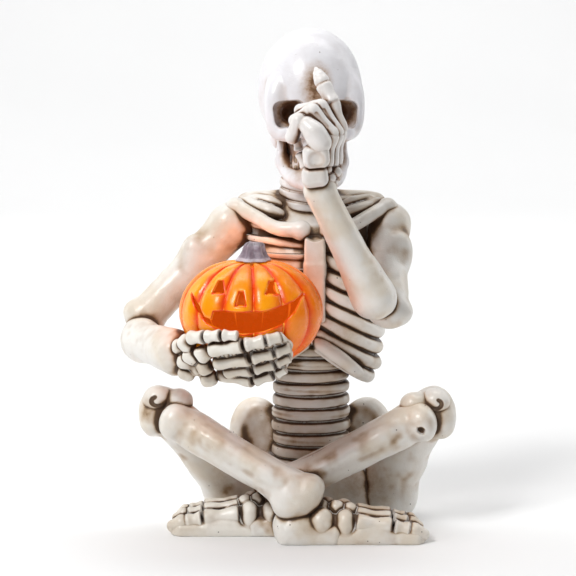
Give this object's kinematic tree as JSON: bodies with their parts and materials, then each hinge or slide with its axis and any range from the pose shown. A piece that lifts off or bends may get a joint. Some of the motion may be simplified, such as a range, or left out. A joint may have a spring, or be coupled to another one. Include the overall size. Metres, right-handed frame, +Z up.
{
  "type": "skeleton figurine lantern",
  "caption": "Cross-legged skeleton figurine with a lit carved pumpkin held to its ribs and one finger raised in front of its face.",
  "frame": {"origin": "middle of the figure's box, at the level of the table it sits on", "axes": "+Z up from the seat to the crown, -Y where the figure faces, +X the figure's left"},
  "size_m": [0.1032, 0.082, 0.1524],
  "materials": {
    "bone": "cast resin painted ivory with a brown wash, satin",
    "pale_bone": "cast resin painted off-white, satin",
    "teeth": "cast resin with a brown wash, satin",
    "pumpkin_skin": "translucent orange resin, gloss",
    "pumpkin_stem": "cast resin painted grey-violet, satin",
    "black_plastic": "moulded, fine texture",
    "plated_steel": "zinc plated",
    "spring_steel": "nickel plated",
    "cell_steel": "bright",
    "lamp_lens": "clear epoxy, gloss",
    "grommet": "matte",
    "red_insulation": "smooth",
    "black_insulation": "smooth"
  },
  "bodies": {
    "figure": {"battery_box": "black_plastic", "battery_contacts": "spring_steel", "black_lead": "black_insulation", "button_cells": "cell_steel", "cervical_vertebrae": "bone", "chest_casting": "bone", "lamp": "lamp_lens", "lamp_holder": "grommet", "left_carpals": "bone", "left_collar_bone": "bone", "left_curled_fingers": "bone", "left_femur": "bone", "left_fibula": "bone", "left_forearm": "bone", "left_heel": "bone", "left_humerus": "bone", "left_kneecap": "bone", "left_metacarpals": "bone", "left_midfoot": "bone", "left_pointing_finger": "bone", "left_shoulder_blade": "bone", "left_thumb": "bone", "left_tibia": "bone", "left_toes": "bone", "lower_teeth": "teeth", "lumbar_vertebrae": "bone", "mandible": "pale_bone", "pelvis": "bone", "pumpkin_shell": "pumpkin_skin", "pumpkin_stem": "pumpkin_stem", "red_lead": "red_insulation", "rib_pair_1": "bone", "rib_pair_2": "bone", "rib_pair_3": "bone", "rib_pair_4": "bone", "rib_pair_5": "bone", "rib_pair_6": "bone", "rib_pair_7": "bone", "rib_pair_8": "bone", "right_carpals": "bone", "right_collar_bone": "bone", "right_femur": "bone", "right_fibula": "bone", "right_fingers": "bone", "right_forearm": "bone", "right_heel": "bone", "right_humerus": "bone", "right_kneecap": "bone", "right_metacarpals": "bone", "right_midfoot": "bone", "right_shoulder_blade": "bone", "right_thumb": "bone", "right_tibia": "bone", "right_toes": "bone", "skull": "pale_bone", "sternum": "bone", "upper_teeth": "teeth"},
    "battery_door": {"battery_door": "black_plastic"},
    "door_screw": {"door_screw": "plated_steel"},
    "switch_knob": {"switch_knob": "black_plastic"}
  },
  "joints": [
    {"name": "battery_door_lift", "type": "slide", "parent": "figure", "child": "battery_door", "axis": [0, 0, -1], "range_m": [0, 0.015]},
    {"name": "door_screw_turn", "type": "hinge", "parent": "battery_door", "child": "door_screw", "pos_m": [0.01985, 0.02708, 0.00367], "axis": [0, 0, 1], "continuous": true},
    {"name": "switch_slide", "type": "slide", "parent": "figure", "child": "switch_knob", "axis": [1, 0, 0], "range_m": [0, 0.0016]}
  ]
}
